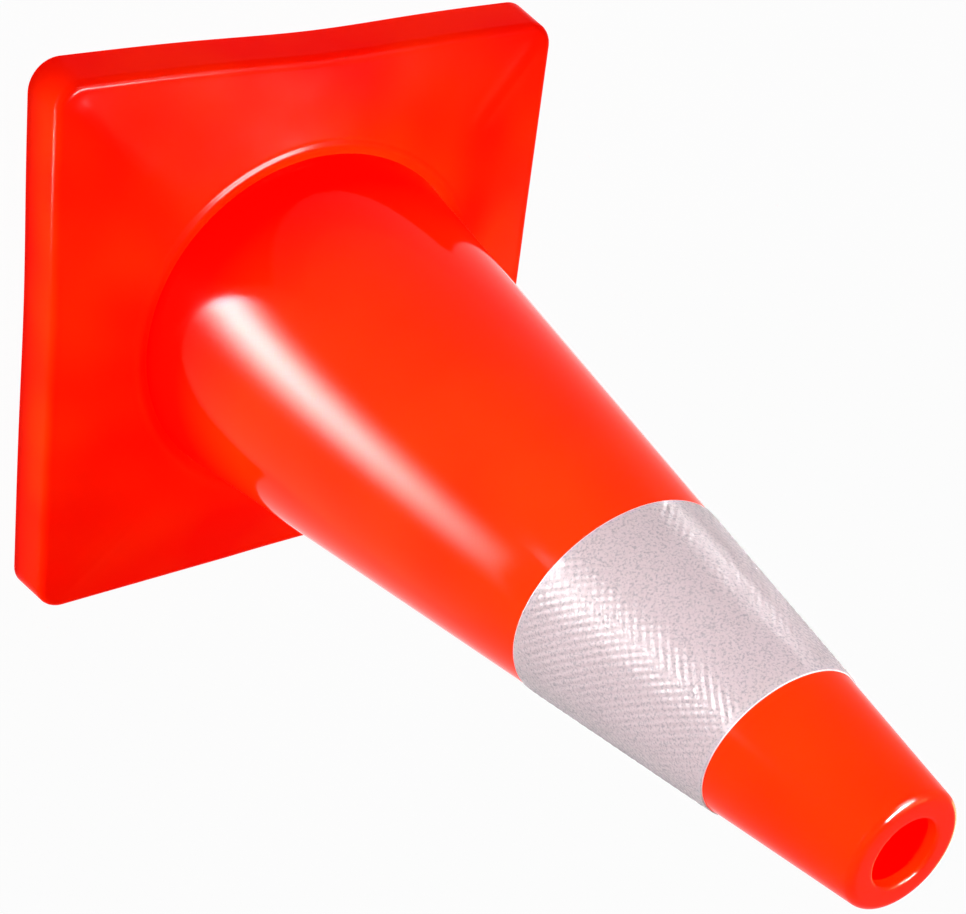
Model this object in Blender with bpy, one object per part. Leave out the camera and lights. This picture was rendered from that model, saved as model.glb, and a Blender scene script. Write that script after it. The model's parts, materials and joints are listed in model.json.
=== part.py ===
"""Traffic cone with a square moulded base, a hollow cone body and a slip-on reflective collar.

Metres, +Z up along the cone's axis, origin at the middle of the base's underside.
"""

from math import atan2, cos, pi, sin

import bmesh
import bpy
from mathutils import Vector

# Square base
BASE_SIDE = 0.270
BASE_CORNER_RADIUS = 0.015
BASE_EDGE_HEIGHT = 0.0255
BASE_EDGE_FILLET = 0.005
BASE_DRAFT = 0.002
BASE_WALL = 0.006
DECK_RISE = 0.0105

# Raised lip round the hole that the cone body passes through
LIP_WIDTH = 0.008
LIP_RISE = 0.003
SEAT_CLEARANCE = 0.0005

# Cone body, outside radii of its straight wall at the ground and at the very top
CONE_HEIGHT = 0.457
CONE_FOOT_RADIUS = 0.0926
CONE_TIP_RADIUS = 0.0258
CONE_WALL = 0.003
TIP_THICKNESS = 0.005
TIP_FILLET = 0.004
TIP_HOLE_RADIUS = 0.0150
TIP_HOLE_FILLET = 0.0015

# Reflective collar: a backing sleeve with a prismatic film over it, set down from the tip
COLLAR_FROM_TIP = 0.069
COLLAR_LENGTH = 0.102
COLLAR_BOTTOM = CONE_HEIGHT - COLLAR_FROM_TIP - COLLAR_LENGTH
COLLAR_CLEARANCE = 0.0004
BACKING_THICKNESS = 0.0006
LAYER_GAP = 0.0003
FILM_THICKNESS = 0.0005

# How finely the round shapes are divided
SIDE_STEPS = 16
CORNER_STEPS = 8
FILLET_STEPS = 4
DECK_STEPS = 3
LIP_STEPS = 6
ROUND_STEPS = 72
WALL_STEPS = 6
SMOOTH_ANGLE = 0.6

# Finishes: linear colour and roughness
ORANGE_PVC = (0.95, 0.045, 0.004)
COLLAR_WHITE = (0.80, 0.78, 0.78)
FILM_WHITE = (0.78, 0.70, 0.71)


def cone_radius(z):
    """Outside radius of the cone's straight wall at height z."""
    return CONE_FOOT_RADIUS + (CONE_TIP_RADIUS - CONE_FOOT_RADIUS) * z / CONE_HEIGHT


def bore_radius(z):
    """Radius of the base's hole, which follows the cone's wall with a clearance."""
    return cone_radius(z) + SEAT_CLEARANCE


def square_ring(half, radius, z):
    """Points round a square with rounded corners, anticlockwise from above."""
    middle = half - radius
    quarter = []
    for k in range(SIDE_STEPS):
        quarter.append((half, -middle + 2 * middle * k / SIDE_STEPS))
    for k in range(CORNER_STEPS):
        turn = pi / 2 * k / CORNER_STEPS
        quarter.append((middle + radius * cos(turn), middle + radius * sin(turn)))
    ring = []
    for _ in range(4):
        ring += [Vector((x, y, z)) for x, y in quarter]
        quarter = [(-y, x) for x, y in quarter]
    return ring


def circle_ring(radius, z, angles):
    """Points round a circle at the given angles."""
    return [Vector((radius * cos(a), radius * sin(a), z)) for a in angles]


def even_angles():
    return [2 * pi * k / ROUND_STEPS for k in range(ROUND_STEPS)]


def between(start, end, share):
    """The ring a share of the way from one ring to another."""
    return [a.lerp(b, share) for a, b in zip(start, end)]


def finish(name, colour, roughness):
    """A plain principled material for one sub-part."""
    material = bpy.data.materials.new(name)
    material.use_nodes = True
    shader = material.node_tree.nodes["Principled BSDF"]
    shader.inputs["Base Color"].default_value = (*colour, 1.0)
    shader.inputs["Roughness"].default_value = roughness
    shader.inputs["Metallic"].default_value = 0.0
    return material


def closed_loft(name, rings, material):
    """One closed solid through rings that go up its outside and back down its inside."""
    shape = bmesh.new()
    loops = [[shape.verts.new(point) for point in ring] for ring in rings]
    count = len(loops[0])
    for low, high in zip(loops, loops[1:] + loops[:1]):
        for k in range(count):
            following = (k + 1) % count
            shape.faces.new((low[k], low[following], high[following], high[k]))
    mesh = bpy.data.meshes.new(name)
    shape.to_mesh(mesh)
    shape.free()
    mesh.shade_smooth()
    mesh.set_sharp_from_angle(angle=SMOOTH_ANGLE)
    mesh.materials.append(material)
    piece = bpy.data.objects.new(name, mesh)
    bpy.context.scene.collection.objects.link(piece)
    return piece


def base_edge_rings(half):
    """The base's outer wall, which leans in by the draft, and the fillet where it turns into the deck."""
    rings = [square_ring(half, BASE_CORNER_RADIUS, 0.0)]
    for k in range(FILLET_STEPS + 1):
        turn = pi / 2 * k / FILLET_STEPS
        inset = BASE_DRAFT + BASE_EDGE_FILLET * (1 - cos(turn))
        z = BASE_EDGE_HEIGHT - BASE_EDGE_FILLET * (1 - sin(turn))
        rings.append(square_ring(half - inset, BASE_CORNER_RADIUS - inset, z))
    return rings


def lip_rings(deck_top, angles):
    """The half-round lip, from its outer foot over to the edge of the hole."""
    middle = bore_radius(deck_top) + LIP_WIDTH / 2
    rings = []
    for k in range(LIP_STEPS + 1):
        turn = pi * k / LIP_STEPS
        radius = middle + LIP_WIDTH / 2 * cos(turn)
        rings.append(circle_ring(radius, deck_top + LIP_RISE * sin(turn), angles))
    return rings


def make_base():
    """A hollow square base whose deck rises from its edges to the lip."""
    half = BASE_SIDE / 2
    inner_half = half - BASE_WALL
    inner_corner = BASE_CORNER_RADIUS - BASE_WALL
    deck_top = BASE_EDGE_HEIGHT + DECK_RISE
    ceiling_edge = BASE_EDGE_HEIGHT - BASE_WALL
    ceiling_middle = deck_top - BASE_WALL
    rings = base_edge_rings(half)
    angles = [atan2(point.y, point.x) for point in rings[0]]
    lip = lip_rings(deck_top, angles)
    deck_edge = rings[-1]
    rings += [between(deck_edge, lip[0], k / DECK_STEPS) for k in range(1, DECK_STEPS)]
    rings += lip
    rings.append(circle_ring(bore_radius(ceiling_middle), ceiling_middle, angles))
    rings.append(square_ring(inner_half - BASE_DRAFT, inner_corner - BASE_DRAFT, ceiling_edge))
    rings.append(square_ring(inner_half, inner_corner, 0.0))
    return closed_loft("base", rings, finish("base_pvc", ORANGE_PVC, 0.25))


def tip_profile():
    """The rounded rim of the tip and its hole, as radius and height pairs."""
    lean = atan2(CONE_FOOT_RADIUS - CONE_TIP_RADIUS, CONE_HEIGHT)
    centre_z = CONE_HEIGHT - TIP_FILLET
    centre_radius = cone_radius(centre_z) - TIP_FILLET / cos(lean)
    profile = []
    for k in range(FILLET_STEPS + 1):
        turn = lean + (pi / 2 - lean) * k / FILLET_STEPS
        profile.append((centre_radius + TIP_FILLET * cos(turn), centre_z + TIP_FILLET * sin(turn)))
    for k in range(FILLET_STEPS + 1):
        turn = pi / 2 * k / FILLET_STEPS
        radius = TIP_HOLE_RADIUS + TIP_HOLE_FILLET * (1 - sin(turn))
        profile.append((radius, CONE_HEIGHT - TIP_HOLE_FILLET * (1 - cos(turn))))
    return profile


def make_cone_body():
    """A hollow straight cone that stands on the ground and has an open, rounded tip."""
    wall_top = CONE_HEIGHT - TIP_FILLET
    underside = CONE_HEIGHT - TIP_THICKNESS
    profile = []
    for k in range(WALL_STEPS):
        z = wall_top * k / WALL_STEPS
        profile.append((cone_radius(z), z))
    profile += tip_profile()
    profile.append((TIP_HOLE_RADIUS, underside))
    profile.append((cone_radius(underside) - CONE_WALL, underside))
    for k in range(WALL_STEPS - 1, -1, -1):
        z = underside * k / WALL_STEPS
        profile.append((cone_radius(z) - CONE_WALL, z))
    rings = [circle_ring(radius, z, even_angles()) for radius, z in profile]
    return closed_loft("cone_body", rings, finish("cone_pvc", ORANGE_PVC, 0.25))


def make_sleeve(name, offset, thickness, material, slide):
    """One layer of the collar, standing off the cone's wall, carried by the sliding empty."""
    heights = (0.0, COLLAR_LENGTH)
    outside = [(cone_radius(COLLAR_BOTTOM + z) + offset + thickness, z) for z in heights]
    inside = [(cone_radius(COLLAR_BOTTOM + z) + offset, z) for z in reversed(heights)]
    rings = [circle_ring(radius, z, even_angles()) for radius, z in outside + inside]
    sleeve = closed_loft(name, rings, material)
    sleeve.parent = slide
    return sleeve


def make_collar():
    """The slip-on collar: its empty sits on the axis along which the collar lifts off."""
    slide = bpy.data.objects.new("collar_slide", None)
    slide.location = (0.0, 0.0, COLLAR_BOTTOM)
    bpy.context.scene.collection.objects.link(slide)
    backing = finish("collar_backing", COLLAR_WHITE, 0.5)
    film = finish("collar_film", FILM_WHITE, 0.2)
    make_sleeve("collar_backing", COLLAR_CLEARANCE, BACKING_THICKNESS, backing, slide)
    film_offset = COLLAR_CLEARANCE + BACKING_THICKNESS + LAYER_GAP
    make_sleeve("collar_film", film_offset, FILM_THICKNESS, film, slide)


def main():
    for leftover in list(bpy.data.objects):
        bpy.data.objects.remove(leftover)
    make_base()
    make_cone_body()
    make_collar()


main()
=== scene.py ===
"""Looks of the traffic cone: glossy moulded PVC, an embossed reflective collar, studio light and camera.

Metres, +Z up along the cone's axis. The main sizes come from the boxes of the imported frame.
"""

import json
from math import atan2, cos, exp, hypot, pi, radians, sin, sqrt

import bmesh
import bpy
from mathutils import Matrix, Vector

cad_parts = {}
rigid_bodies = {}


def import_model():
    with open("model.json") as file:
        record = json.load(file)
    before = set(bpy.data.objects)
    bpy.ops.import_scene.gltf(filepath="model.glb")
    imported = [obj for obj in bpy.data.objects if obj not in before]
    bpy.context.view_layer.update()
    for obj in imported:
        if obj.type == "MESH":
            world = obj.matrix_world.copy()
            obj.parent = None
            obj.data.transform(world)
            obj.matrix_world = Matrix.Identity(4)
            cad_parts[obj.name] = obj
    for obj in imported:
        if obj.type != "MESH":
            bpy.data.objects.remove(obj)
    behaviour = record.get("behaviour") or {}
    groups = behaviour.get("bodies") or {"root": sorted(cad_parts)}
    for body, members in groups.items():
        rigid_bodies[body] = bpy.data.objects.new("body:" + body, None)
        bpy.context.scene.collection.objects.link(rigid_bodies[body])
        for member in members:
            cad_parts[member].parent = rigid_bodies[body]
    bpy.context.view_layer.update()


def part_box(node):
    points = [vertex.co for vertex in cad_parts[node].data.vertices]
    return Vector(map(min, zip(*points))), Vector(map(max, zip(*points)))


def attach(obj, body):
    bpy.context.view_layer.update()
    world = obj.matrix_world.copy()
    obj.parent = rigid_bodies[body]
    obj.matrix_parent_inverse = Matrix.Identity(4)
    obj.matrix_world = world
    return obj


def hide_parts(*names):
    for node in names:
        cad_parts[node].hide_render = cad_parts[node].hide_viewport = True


# Square base
CORNER_RADIUS = 0.015
EDGE_HEIGHT = 0.0255
EDGE_FILLET = 0.005
EDGE_DRAFT = 0.002
BASE_WALL = 0.006
DECK_RISE = 0.0105
LIP_WIDTH = 0.008
LIP_RISE = 0.0012
SEAT_CLEARANCE = 0.00005

# Cone body
TIP_RADIUS = 0.0258
CONE_WALL = 0.003
TIP_THICKNESS = 0.005
TIP_FILLET = 0.004
HOLE_RADIUS = 0.0150
HOLE_FILLET = 0.0015

# Layers of the collar, measured out from the cone's wall; the film is a little shorter than its box
COLLAR_CLEARANCE = 0.0001
BACKING_THICKNESS = 0.0002
FILM_OFFSET = 0.00035
FILM_THICKNESS = 0.0004
FILM_INSET = 0.0004

# The soft base bows in a little along its left and back sides
LEFT_BOW_DEPTH = 0.0010
BACK_BOW_DEPTH = 0.0024
LEFT_BOW_CENTRE = 0.022
BACK_BOW_CENTRE = 0.008
BOW_SPREAD = 0.055
BOW_REACH = 0.040

# The base's corners, by the signs of X and Y, are a little out of square
CORNER_SHIFTS = {
    (-1, 1): Vector((0.0033, 0.0016, 0.0)),
    (1, 1): Vector((-0.0021, 0.0001, 0.0)),
    (1, -1): Vector((-0.0013, 0.0002, 0.0)),
    (-1, -1): Vector((-0.0004, -0.0072, 0.0)),
}

# Shallow ribs that run in from the corners of the deck, between two distances from the axis
RIB_RISE = 0.0005
RIB_HALF_WIDTH = 0.0080
RIB_SLOPE = 0.0065
RIB_OUTER = 0.176
RIB_INNER = 0.120

# The collar sits a little askew: rise per metre along X and Y
COLLAR_SKEW = Vector((0.012, 0.129))

# Embossed cells of the reflective film
CELL_WIDTH = 0.0041
CELL_HEIGHT = 0.0047
CELL_RELIEF = 0.00018
CELL_STEPS = 6
FILM_BORDER = 0.0014

# How finely the shapes are divided
SIDE_STEPS = 48
CORNER_STEPS = 24
FILLET_STEPS = 8
DECK_STEPS = 40
WALL_STEPS = 24
ROUND_STEPS = 192
LIP_STEPS = 12
SMOOTH_ANGLE = radians(35)

# Camera: place, aim and tilt, and the lens for an image 966 pixels wide
IMAGE_WIDTH = 966
FOCAL_PIXELS = 2289.1
SENSOR_WIDTH = 36.0
CAMERA_PLACE = Vector((-0.5222, 0.5237, 0.8540))
CAMERA_AIM = Vector((-0.0073, 0.0159, 0.1927))
CAMERA_UP = Vector((0.2076, 0.8472, -0.4890))

# The span that most of a noise texture's values lie in
NOISE_SPAN = (0.3, 0.7)

# PVC: the two colours of its flow marks, its gloss, and on the cone the heights over which a painted shade, a
# deeper red at the foot, fades out
BASE_PVC = dict(
    colours=((0.93, 0.012, 0.0006), (0.98, 0.040, 0.0010)),
    roughness=(0.13, 0.20),
    specular=0.006,
)
CONE_PVC = dict(
    colours=((0.93, 0.029, 0.0006), (0.98, 0.037, 0.0010)),
    roughness=(0.05, 0.09),
    specular=0.03,
    painted_shade_fade=(0.058, 0.105),
)
# Painted shade: the deeper red of the cone's foot, where the base shades it
FOOT_PAINTED_SHADE = (0.93, 0.003, 0.0004)
FLOW_SCALE = 16.0
FLOW_DETAIL = 1.0
FLOW_SPAN = (0.35, 0.65)
PVC_GLOSS_SCALE = 30.0
PVC_SKIN = dict(scale=900.0, detail=2.0, depth=0.0002, strength=0.04)

# Painted glow: a red emission that stands for the PVC's fluorescent dye and keeps its shaded parts full red
PAINTED_GLOW_RED = (1.0, 0.0, 0.0, 1.0)
PAINTED_GLOW_STRENGTH = 0.62

# Reflective film: pale with a faint pink tint, and grey specks
FILM_PALE = (0.60, 0.485, 0.51)
FILM_SPECK = (0.36, 0.325, 0.345)
SPECK_SCALE = 1000.0
SPECK_DETAIL = 2.0
SPECK_SPAN = (0.48, 0.72)
FILM_ROUGHNESS = (0.08, 0.20)
FILM_GLOSS_SCALE = 420.0
FILM_SPECULAR = 0.08
FILM_SKIN = dict(scale=1500.0, detail=2.0, depth=0.0003, strength=0.20)

# White sheet behind the film
SHEET_COLOURS = ((0.74, 0.70, 0.69), (0.82, 0.79, 0.78))
SHEET_GRAIN_SCALE = 120.0
SHEET_ROUGHNESS = (0.35, 0.55)
SHEET_GLOSS_SCALE = 200.0
SHEET_SKIN = dict(scale=1100.0, detail=3.0, depth=0.0002, strength=0.15)

# Pale floor, and how white it is where it is seen directly
FLOOR_SIZE = 6.0
FLOOR_GREY = (0.60, 0.60, 0.60, 1.0)
FLOOR_ROUGHNESS = 0.9
FLOOR_WHITENESS = 0.97

# World: its strength on the object; where it is seen directly it is plain white
WORLD_STRENGTH = 0.08

# Colours of the lamps
WHITE = (1.0, 1.0, 1.0)
WARM = (1.0, 0.85, 0.30)

# Strips on the floor that only the gloss sees. Softness is a share of the width, at the start and at the end.
LOW_STRIP = dict(
    start=Vector((-0.165, 0.083, 0.003)),
    end=Vector((-0.620, 0.035, 0.003)),
    width=0.44,
    power=165.0,
    softness=(0.043, 0.185),
    end_share=0.10,
)
LEFT_GLOW = dict(
    start=Vector((-0.158, 0.35, 0.001)),
    end=Vector((-0.620, 0.35, 0.001)),
    width=1.5,
    power=4.6,
    softness=(0.267, 0.267),
    end_share=1.0,
    colour=WARM,
)
BACK_GLOW = dict(
    start=Vector((-0.158, 0.46, 0.001)),
    end=Vector((0.25, 0.46, 0.001)),
    width=0.52,
    power=1.1,
    softness=(1.0, 1.0),
    end_share=0.10,
    colour=WARM,
)

# Small low lamps for the film's glints
LEFT_GLINT_SPOTS = (Vector((-0.72, 0.41, 0.012)), Vector((-0.99, 0.31, 0.012)))
LEFT_GLINT = dict(size=(0.18, 0.18), power=28.0)
RIGHT_GLINT_SPOTS = (Vector((0.50, 0.396, 0.012)), Vector((0.62, 0.393, 0.012)))
RIGHT_GLINT = dict(size=(0.05, 0.05), power=2.2)

# Warm cards that the deck mirrors
DECK_MIDDLE = Vector((0.0, 0.0, 0.03))
DECK_CARDS = (
    dict(spot=Vector((0.75, -0.05, 1.50)), size=(0.60, 0.50), power=18.0),
    dict(spot=Vector((0.96, -0.60, 0.40)), size=(0.50, 0.40), power=4.5),
)

# Studio lamps
LOW_SOFT = dict(
    start=Vector((-0.165, -0.02, 0.002)),
    end=Vector((-0.42, -0.02, 0.002)),
    width=0.40,
    power=1.4,
)
LEFT_KEY = dict(
    spot=Vector((-0.95, 0.40, 0.62)),
    aim=Vector((0.0, 0.0, 0.36)),
    size=(0.30, 0.30),
    power=0.62,
    spread=radians(40),
)
BACK_RIM = dict(
    spot=Vector((0.40, 1.0, 1.2)),
    aim=Vector((0.0, 0.0, 0.1)),
    size=(0.80, 0.35),
    power=90.0,
)
OVERHEAD = dict(
    spot=Vector((0.85, 0.45, 1.6)),
    aim=Vector((0.0, 0.0, 0.05)),
    size=(0.9, 0.9),
    power=4.5,
)
TOP_GLOSS = dict(
    spot=Vector((0.27, 0.40, 1.35)),
    aim=Vector((0.27, 0.40, 0.0)),
    size=(0.65, 0.25),
    power=750.0,
)
TOP_GLOSS_TURN = radians(33)
FAR_SPOTS = (Vector((1.1, -1.1, 0.37)), Vector((1.55, 0.10, 0.37)))
FAR_FILL = dict(
    aim=Vector((0.0, 0.0, 0.37)),
    size=(0.40, 0.40),
    power=0.33,
    spread=radians(24),
)
RIGHT_FILL = dict(
    spot=Vector((0.35, 0.90, 0.75)),
    aim=Vector((0.0, 0.0, 0.34)),
    size=(0.20, 0.20),
    power=0.19,
    spread=radians(28),
)

UPWARD = Vector((0.0, 0.0, 1.0))


class Nodes:
    """Adds and links the nodes of one material."""

    def __init__(self, name):
        self.material = bpy.data.materials.new(name)
        self.material.use_nodes = True
        self.tree = self.material.node_tree
        self.shader = self.tree.nodes["Principled BSDF"]
        self.output = self.tree.nodes["Material Output"]

    def add(self, kind, **values):
        node = self.tree.nodes.new(kind)
        for name, value in values.items():
            setattr(node, name, value)
        return node

    def link(self, start, end):
        self.tree.links.new(start, end)

    def fix(self, name, value):
        """Set one of the shader's own values."""
        self.shader.inputs[name].default_value = value

    def place(self):
        """A point of the surface in the object's own coordinates."""
        return self.add("ShaderNodeTexCoord").outputs["Object"]

    def height(self):
        """Height in the object's own coordinates."""
        split = self.add("ShaderNodeSeparateXYZ")
        self.link(self.place(), split.inputs["Vector"])
        return split.outputs["Z"]

    def noise(self, scale, detail=3.0):
        """Noise in the object's own coordinates."""
        noise = self.add("ShaderNodeTexNoise")
        noise.inputs["Scale"].default_value = scale
        noise.inputs["Detail"].default_value = detail
        self.link(self.place(), noise.inputs["Vector"])
        return noise.outputs["Fac"]

    def ramp(self, value, start, end, low=0.0, high=1.0):
        """A number that goes from low to high while a value goes from start to end."""
        span = self.add("ShaderNodeMapRange")
        span.inputs["From Min"].default_value = start
        span.inputs["From Max"].default_value = end
        span.inputs["To Min"].default_value = low
        span.inputs["To Max"].default_value = high
        self.link(value, span.inputs["Value"])
        return span.outputs["Result"]

    def blend(self, factor, low, high):
        """A colour between two colours, each of them fixed or from another node."""
        mix = self.add("ShaderNodeMix", data_type="RGBA")
        self.link(factor, mix.inputs["Factor"])
        for name, colour in (("A", low), ("B", high)):
            if isinstance(colour, tuple):
                mix.inputs[name].default_value = (*colour, 1.0)
            else:
                self.link(colour, mix.inputs[name])
        return mix.outputs["Result"]

    def paint(self, colour):
        self.link(colour, self.shader.inputs["Base Color"])

    def gloss(self, scale, roughness):
        """Uneven gloss: a roughness that wanders between two values."""
        rough = self.ramp(self.noise(scale), *NOISE_SPAN, *roughness)
        self.link(rough, self.shader.inputs["Roughness"])

    def skin(self, scale, detail, depth, strength):
        """A fine grain of the surface."""
        bump = self.add("ShaderNodeBump")
        bump.inputs["Distance"].default_value = depth
        bump.inputs["Strength"].default_value = strength
        self.link(self.noise(scale, detail), bump.inputs["Height"])
        self.link(bump.outputs["Normal"], self.shader.inputs["Normal"])


def pvc_material(name, colours, roughness, specular, painted_shade_fade=None):
    """Glossy PVC: flow marks in the colour, a red emission as a painted glow, a painted shade at the foot
    where heights are given, uneven gloss and a fine moulded skin.
    """
    nodes = Nodes(name)
    marks = nodes.ramp(nodes.noise(FLOW_SCALE, FLOW_DETAIL), *FLOW_SPAN)
    colour = nodes.blend(marks, *colours)
    if painted_shade_fade:
        # Painted shade: deeper red towards the foot, by height
        colour = nodes.blend(nodes.ramp(nodes.height(), *painted_shade_fade), FOOT_PAINTED_SHADE, colour)
    nodes.paint(colour)
    nodes.gloss(PVC_GLOSS_SCALE, roughness)
    nodes.skin(**PVC_SKIN)
    nodes.fix("Specular IOR Level", specular)
    # Painted glow: a red emission that lifts the shaded PVC
    nodes.fix("Emission Color", PAINTED_GLOW_RED)
    nodes.fix("Emission Strength", PAINTED_GLOW_STRENGTH)
    return nodes.material


def film_material():
    """White prismatic film with fine grey specks and a glittering skin."""
    nodes = Nodes("reflective_film")
    specks = nodes.ramp(nodes.noise(SPECK_SCALE, SPECK_DETAIL), *SPECK_SPAN)
    nodes.paint(nodes.blend(specks, FILM_PALE, FILM_SPECK))
    nodes.gloss(FILM_GLOSS_SCALE, FILM_ROUGHNESS)
    nodes.skin(**FILM_SKIN)
    nodes.fix("Specular IOR Level", FILM_SPECULAR)
    return nodes.material


def backing_material():
    """Plain white PVC sheet with a fine grain."""
    nodes = Nodes("collar_sheet")
    nodes.paint(nodes.blend(nodes.noise(SHEET_GRAIN_SCALE), *SHEET_COLOURS))
    nodes.gloss(SHEET_GLOSS_SCALE, SHEET_ROUGHNESS)
    nodes.skin(**SHEET_SKIN)
    return nodes.material


def closed_loft(name, rings, material):
    """One closed skin through rings that go up its outside and back down its inside."""
    shape = bmesh.new()
    loops = [[shape.verts.new(point) for point in ring] for ring in rings]
    count = len(loops[0])
    for low, high in zip(loops, loops[1:] + loops[:1]):
        for k in range(count):
            following = (k + 1) % count
            shape.faces.new((low[k], low[following], high[following], high[k]))
    mesh = bpy.data.meshes.new(name)
    shape.to_mesh(mesh)
    shape.free()
    mesh.shade_smooth()
    mesh.set_sharp_from_angle(angle=SMOOTH_ANGLE)
    mesh.materials.append(material)
    piece = bpy.data.objects.new(name, mesh)
    bpy.context.scene.collection.objects.link(piece)
    return piece


def square_ring(half, radius, z):
    """Points round a square with rounded corners, anticlockwise from above."""
    middle = half - radius
    quarter = []
    for k in range(SIDE_STEPS):
        quarter.append((half, -middle + 2 * middle * k / SIDE_STEPS))
    for k in range(CORNER_STEPS):
        turn = pi / 2 * k / CORNER_STEPS
        quarter.append((middle + radius * cos(turn), middle + radius * sin(turn)))
    ring = []
    for _ in range(4):
        ring += [Vector((x, y, z)) for x, y in quarter]
        quarter = [(-y, x) for x, y in quarter]
    return ring


def circle_ring(radius, z, angles):
    """Points round a circle at the given angles."""
    return [Vector((radius * cos(a), radius * sin(a), z)) for a in angles]


def even_angles(count):
    return [2 * pi * k / count for k in range(count)]


def between(start, end, share):
    """The ring a share of the way from one ring to another."""
    return [a.lerp(b, share) for a, b in zip(start, end)]


def limited(value):
    """A value kept between 0 and 1."""
    return max(0.0, min(1.0, value))


def smooth_step(value):
    share = limited(value)
    return share * share * (3 - 2 * share)


class Cone:
    """The straight wall of the cone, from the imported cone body's box."""

    def __init__(self):
        _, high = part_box("cone_body")
        self.height = high.z
        self.foot = high.x
        self.lean = atan2(self.foot - TIP_RADIUS, self.height)

    def radius(self, z):
        return self.foot + (TIP_RADIUS - self.foot) * z / self.height


def ribbed(point):
    """A point of the deck, raised where it lies on a rib along one of the diagonals."""
    along = (abs(point.x) + abs(point.y)) / sqrt(2)
    aside = abs(abs(point.x) - abs(point.y)) / sqrt(2)
    inner = RIB_HALF_WIDTH - hypot(aside, max(0.0, RIB_INNER + RIB_HALF_WIDTH - along))
    rise = smooth_step(inner / RIB_SLOPE) * smooth_step((RIB_OUTER - along) / RIB_SLOPE)
    return point + Vector((0.0, 0.0, RIB_RISE * rise))


def corner_shift(point, half):
    """How far the skewed corners carry a point, each corner by how near it is."""
    shift = Vector((0.0, 0.0, 0.0))
    for (right, back), corner in CORNER_SHIFTS.items():
        shift += corner * (1 + right * point.x / half) * (1 + back * point.y / half) / 4
    return shift


def bow_shift(point, half):
    """How far the bowed left and back sides carry a point."""
    left = max(0.0, 1 - (point.x + half) / BOW_REACH)
    back = max(0.0, 1 - (half - point.y) / BOW_REACH)
    left_dip = exp(-((point.y - LEFT_BOW_CENTRE) / BOW_SPREAD) ** 2)
    back_dip = exp(-((point.x - BACK_BOW_CENTRE) / BOW_SPREAD) ** 2)
    return Vector((LEFT_BOW_DEPTH * left * left_dip, -BACK_BOW_DEPTH * back * back_dip, 0.0))


def bowed(point, half, seat):
    """A point of the base after its sides bow in and its corners shift; the seat stays round."""
    reach = limited((point.xy.length - seat) / (half - seat))
    return point + bow_shift(point, half) + corner_shift(point, half) * reach


def edge_rings(half):
    """The base's wall, which leans in by the draft, and the fillet where it turns into the deck."""
    rings = [square_ring(half, CORNER_RADIUS, 0.0)]
    for k in range(FILLET_STEPS + 1):
        turn = pi / 2 * k / FILLET_STEPS
        inset = EDGE_DRAFT + EDGE_FILLET * (1 - cos(turn))
        z = EDGE_HEIGHT - EDGE_FILLET * (1 - sin(turn))
        rings.append(square_ring(half - inset, CORNER_RADIUS - inset, z))
    return rings


def lip_rings(bore, deck_top, angles):
    """The low rounded lip, from its outer foot in to the edge of the hole."""
    rings = []
    for k in range(LIP_STEPS + 1):
        share = k / LIP_STEPS
        radius = bore + LIP_WIDTH * (1 - share)
        rings.append(circle_ring(radius, deck_top + LIP_RISE * sin(pi * share) ** 2, angles))
    return rings


def underside_rings(cone, half, deck_top, angles):
    """The hole's lower edge, the ceiling under the deck and the inside of the wall."""
    ceiling = deck_top - BASE_WALL
    inner = half - BASE_WALL
    inner_corner = CORNER_RADIUS - BASE_WALL
    return [
        circle_ring(cone.radius(ceiling) + SEAT_CLEARANCE, ceiling, angles),
        square_ring(inner - EDGE_DRAFT, inner_corner - EDGE_DRAFT, EDGE_HEIGHT - BASE_WALL),
        square_ring(inner, inner_corner, 0.0),
    ]


def base_piece(cone, material):
    """The square base: wall, rounded edge, sloping deck, lip and hollow underside."""
    _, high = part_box("base")
    half = high.x
    deck_top = EDGE_HEIGHT + DECK_RISE
    bore = cone.radius(deck_top) + SEAT_CLEARANCE
    seat = bore + LIP_WIDTH
    rings = edge_rings(half)
    angles = [atan2(point.y, point.x) for point in rings[0]]
    edge = rings[-1]
    foot = circle_ring(seat, deck_top, angles)
    for k in range(1, DECK_STEPS):
        rings.append([ribbed(point) for point in between(edge, foot, k / DECK_STEPS)])
    rings += lip_rings(bore, deck_top, angles)
    rings += underside_rings(cone, half, deck_top, angles)
    rings = [[bowed(point, half, seat) for point in ring] for ring in rings]
    return closed_loft("base_moulding", rings, material)


def tip_profile(cone):
    """The rounded rim of the tip and its hole, as radius and height pairs."""
    centre_z = cone.height - TIP_FILLET
    centre_radius = cone.radius(centre_z) - TIP_FILLET / cos(cone.lean)
    profile = []
    for k in range(FILLET_STEPS + 1):
        turn = cone.lean + (pi / 2 - cone.lean) * k / FILLET_STEPS
        profile.append((centre_radius + TIP_FILLET * cos(turn), centre_z + TIP_FILLET * sin(turn)))
    for k in range(FILLET_STEPS + 1):
        turn = pi / 2 * k / FILLET_STEPS
        radius = HOLE_RADIUS + HOLE_FILLET * (1 - sin(turn))
        profile.append((radius, cone.height - HOLE_FILLET * (1 - cos(turn))))
    return profile


def cone_piece(cone, material):
    """The hollow cone with its rounded tip and hole."""
    wall_top = cone.height - TIP_FILLET
    underside = cone.height - TIP_THICKNESS
    profile = []
    for k in range(WALL_STEPS):
        z = wall_top * k / WALL_STEPS
        profile.append((cone.radius(z), z))
    profile += tip_profile(cone)
    profile.append((HOLE_RADIUS, underside))
    for k in range(WALL_STEPS, -1, -1):
        z = underside * k / WALL_STEPS
        profile.append((cone.radius(z) - CONE_WALL, z))
    rings = [circle_ring(radius, z, even_angles(ROUND_STEPS)) for radius, z in profile]
    return closed_loft("cone_moulding", rings, material)


def askew(cone, offset, z, angle):
    """A point of the collar, which sits a little askew, at an offset from the cone's wall."""
    reach = cone.radius(z)
    height = z + reach * (COLLAR_SKEW.x * cos(angle) + COLLAR_SKEW.y * sin(angle))
    radius = cone.radius(height) + offset
    return Vector((radius * cos(angle), radius * sin(angle), height))


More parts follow.
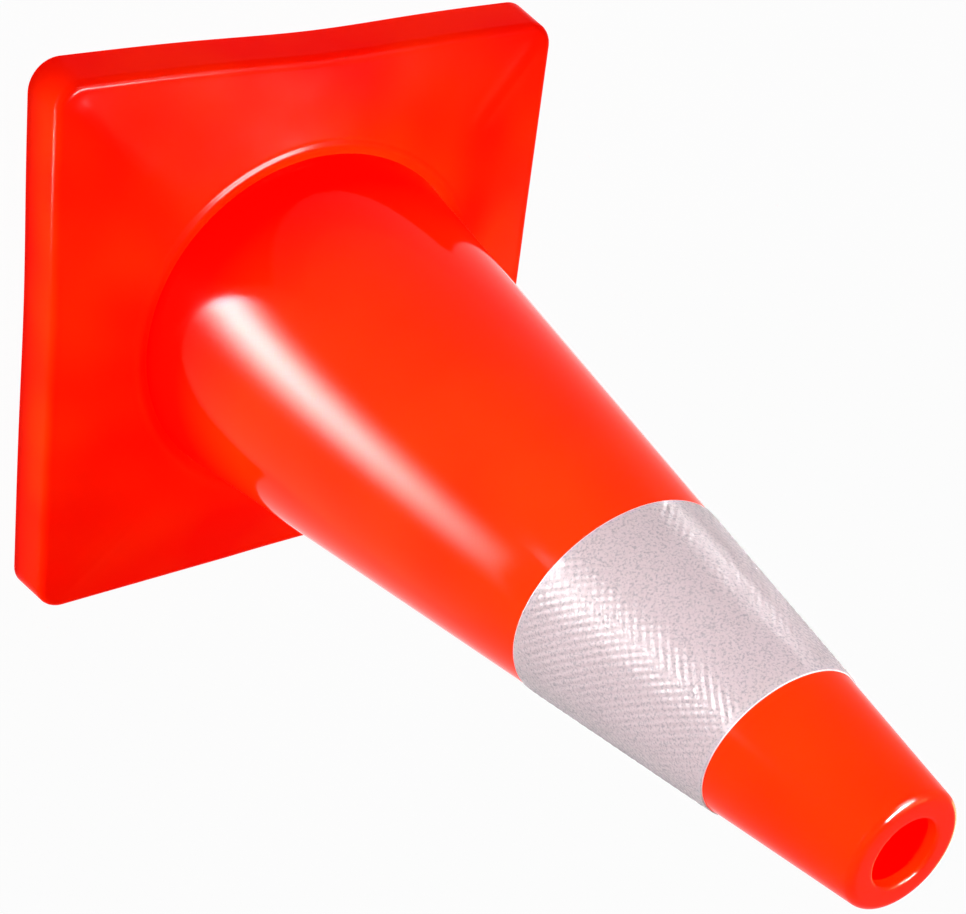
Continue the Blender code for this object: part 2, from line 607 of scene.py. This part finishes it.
def backing_piece(cone, material):
    """The collar's white sleeve."""
    low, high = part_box("collar_backing")
    heights = [low.z + (high.z - low.z) * k / WALL_STEPS for k in range(WALL_STEPS + 1)]
    outer = COLLAR_CLEARANCE + BACKING_THICKNESS
    angles = even_angles(ROUND_STEPS)
    rings = [[askew(cone, outer, z, a) for a in angles] for z in heights]
    rings += [[askew(cone, COLLAR_CLEARANCE, z, a) for a in angles] for z in reversed(heights)]
    return closed_loft("collar_sleeve", rings, material)


def relief(cells, turn, height, length):
    """Height of the embossing: a diamond lattice of raised cells inside a plain border."""
    inside = min(height, length - height) - FILM_BORDER
    if inside <= 0:
        return 0.0
    wave = cos(cells * turn) * cos(2 * pi * height / CELL_HEIGHT)
    return CELL_RELIEF * wave * min(1.0, inside / FILM_BORDER)


def film_piece(cone, material):
    """The embossed face of the collar, with its cells as real relief."""
    low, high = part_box("collar_film")
    cells = round(2 * pi * cone.radius((low.z + high.z) / 2) / CELL_WIDTH)
    rows = round((high.z - low.z) / CELL_HEIGHT * CELL_STEPS)
    angles = even_angles(cells * CELL_STEPS)
    outer = FILM_OFFSET + FILM_THICKNESS - CELL_RELIEF
    bottom = low.z + FILM_INSET
    top = high.z - FILM_INSET
    length = top - bottom
    rings = []
    for k in range(rows + 1):
        height = length * k / rows
        offsets = [outer + relief(cells, a, height, length) for a in angles]
        rings.append([askew(cone, offset, bottom + height, a) for offset, a in zip(offsets, angles)])
    for z in (top, bottom):
        rings.append([askew(cone, FILM_OFFSET, z, a) for a in angles])
    return closed_loft("collar_face", rings, material)


def dress(piece, body, node):
    """Let a piece ride on a body in place of one of the frame's nodes."""
    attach(piece, body)
    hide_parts(node)


def make_object():
    cone = Cone()
    base_look = pvc_material("base_pvc_look", **BASE_PVC)
    dress(base_piece(cone, base_look), "cone", "base")
    cone_look = pvc_material("cone_pvc_look", **CONE_PVC)
    dress(cone_piece(cone, cone_look), "cone", "cone_body")
    dress(backing_piece(cone, backing_material()), "collar", "collar_backing")
    dress(film_piece(cone, film_material()), "collar", "collar_film")


def make_camera():
    data = bpy.data.cameras.new("camera")
    data.sensor_width = SENSOR_WIDTH
    data.lens = SENSOR_WIDTH * FOCAL_PIXELS / IMAGE_WIDTH
    camera = bpy.data.objects.new("camera", data)
    back = (CAMERA_PLACE - CAMERA_AIM).normalized()
    right = CAMERA_UP.cross(back).normalized()
    up = back.cross(right)
    turn = Matrix((right, up, back)).transposed().to_4x4()
    camera.matrix_world = Matrix.Translation(CAMERA_PLACE) @ turn
    bpy.context.scene.collection.objects.link(camera)
    bpy.context.scene.camera = camera


def maths(tree, operation, *values):
    """The result of a maths node on numbers and on other nodes' results."""
    node = tree.nodes.new("ShaderNodeMath")
    node.operation = operation
    for socket, value in zip(node.inputs, values):
        if isinstance(value, float):
            socket.default_value = value
        else:
            tree.links.new(value, socket)
    return node.outputs[0]


def seen_directly(tree):
    """1 for camera, glossy and transmission rays, 0 for light on its way between surfaces."""
    path = tree.nodes.new("ShaderNodeLightPath").outputs
    glossy = maths(tree, "MAXIMUM", path["Is Camera Ray"], path["Is Glossy Ray"])
    return maths(tree, "MAXIMUM", glossy, path["Is Transmission Ray"])


def floor_material():
    """Pale and matt, but nearly white where it is seen directly, so that it still takes a shadow."""
    nodes = Nodes("floor_pale")
    nodes.fix("Base Color", FLOOR_GREY)
    nodes.fix("Roughness", FLOOR_ROUGHNESS)
    nodes.fix("Specular IOR Level", 0.0)
    glow = nodes.add("ShaderNodeEmission")
    mix = nodes.add("ShaderNodeMixShader")
    nodes.link(maths(nodes.tree, "MULTIPLY", seen_directly(nodes.tree), FLOOR_WHITENESS), mix.inputs["Fac"])
    nodes.link(nodes.shader.outputs["BSDF"], mix.inputs[1])
    nodes.link(glow.outputs["Emission"], mix.inputs[2])
    nodes.link(mix.outputs["Shader"], nodes.output.inputs["Surface"])
    return nodes.material


def make_floor():
    mesh = bpy.data.meshes.new("floor")
    shape = bmesh.new()
    bmesh.ops.create_grid(shape, x_segments=1, y_segments=1, size=FLOOR_SIZE / 2)
    shape.to_mesh(mesh)
    shape.free()
    mesh.materials.append(floor_material())
    floor = bpy.data.objects.new("floor", mesh)
    bpy.context.scene.collection.objects.link(floor)


def make_world():
    """A faint light from all round that looks white where it is seen directly."""
    world = bpy.data.worlds.new("studio")
    bpy.context.scene.world = world
    world.use_nodes = True
    tree = world.node_tree
    background = tree.nodes["Background"]
    background.inputs["Color"].default_value = (*WHITE, 1.0)
    strength = tree.nodes.new("ShaderNodeMapRange")
    strength.inputs["To Min"].default_value = WORLD_STRENGTH
    strength.inputs["To Max"].default_value = 1.0
    tree.links.new(seen_directly(tree), strength.inputs["Value"])
    tree.links.new(strength.outputs["Result"], background.inputs["Strength"])


def area_light(name, spot, aim, size, power, spread=pi, colour=WHITE):
    """A rectangular soft light that the camera doesn't see."""
    data = bpy.data.lights.new(name, "AREA")
    data.shape = "RECTANGLE"
    data.size, data.size_y = size
    data.energy = power
    data.spread = spread
    data.color = colour
    light = bpy.data.objects.new(name, data)
    light.location = spot
    light.rotation_euler = (aim - spot).to_track_quat("-Z", "Y").to_euler()
    light.visible_camera = False
    bpy.context.scene.collection.objects.link(light)
    return light


def gloss_only(light):
    """Keep a light in reflections and off matt surfaces."""
    light.visible_diffuse = False


def matt_only(light):
    """Keep a light on matt surfaces and out of reflections."""
    light.visible_glossy = False


def floor_strip(name, start, end, width, power, colour=WHITE):
    """A light that lies along a line just above the floor and faces up."""
    run = end - start
    middle = (start + end) / 2
    light = area_light(name, middle, middle + UPWARD, (run.length, width), power, colour=colour)
    light.rotation_euler = (pi, 0.0, atan2(run.y, run.x))
    return light


def graded_strip(name, start, end, width, power, softness, end_share, colour=WHITE):
    """A floor strip for the gloss to mirror: soft across its middle line, fading to a share at its end."""
    light = floor_strip(name, start, end, width, power, colour)
    gloss_only(light)
    light.data.use_nodes = True
    tree = light.data.node_tree
    split = tree.nodes.new("ShaderNodeSeparateXYZ")
    place = tree.nodes.new("ShaderNodeNewGeometry").outputs["Parametric"]
    tree.links.new(place, split.inputs[0])
    along = split.outputs["X"]
    aside = maths(tree, "SUBTRACT", split.outputs["Y"], 0.5)
    near, far = softness
    spread = maths(tree, "MULTIPLY_ADD", along, far - near, near)
    ratio = maths(tree, "DIVIDE", aside, spread)
    square = maths(tree, "MULTIPLY", ratio, ratio)
    across = maths(tree, "EXPONENT", maths(tree, "MULTIPLY", square, -0.5))
    fall = maths(tree, "MULTIPLY_ADD", along, end_share - 1.0, 1.0)
    tree.links.new(maths(tree, "MULTIPLY", across, fall), tree.nodes["Emission"].inputs["Strength"])


def glint_lights():
    """Small low lights that each cell of the film mirrors as a spark."""
    for spots, glint in ((LEFT_GLINT_SPOTS, LEFT_GLINT), (RIGHT_GLINT_SPOTS, RIGHT_GLINT)):
        for spot in spots:
            gloss_only(area_light("glint", spot, spot + UPWARD, **glint))


def deck_cards():
    """Warm cards beyond the base that the sloping deck mirrors as soft patches."""
    for card in DECK_CARDS:
        gloss_only(area_light("deck_card", aim=DECK_MIDDLE, colour=WARM, **card))


def top_gloss():
    """A long lamp overhead, turned so that the lip mirrors it as a bright arc."""
    light = area_light("top_gloss", **TOP_GLOSS)
    light.rotation_euler = (0.0, 0.0, TOP_GLOSS_TURN)
    gloss_only(light)


def make_lights():
    """Lights for the gloss to mirror, and soft lamps on the object from the left, above and the far side."""
    graded_strip("low_strip", **LOW_STRIP)
    graded_strip("left_glow", **LEFT_GLOW)
    graded_strip("back_glow", **BACK_GLOW)
    glint_lights()
    deck_cards()
    matt_only(floor_strip("low_soft", **LOW_SOFT))
    matt_only(area_light("left_key", **LEFT_KEY))
    gloss_only(area_light("back_rim", **BACK_RIM))
    area_light("overhead", **OVERHEAD)
    top_gloss()
    for spot in FAR_SPOTS:
        matt_only(area_light("far_fill", spot, **FAR_FILL))
    matt_only(area_light("right_fill", **RIGHT_FILL))


def clear_scene():
    for leftover in list(bpy.data.objects):
        bpy.data.objects.remove(leftover)


clear_scene()
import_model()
make_object()
make_camera()
make_floor()
make_world()
make_lights()
bpy.context.scene.view_settings.view_transform = "Standard"
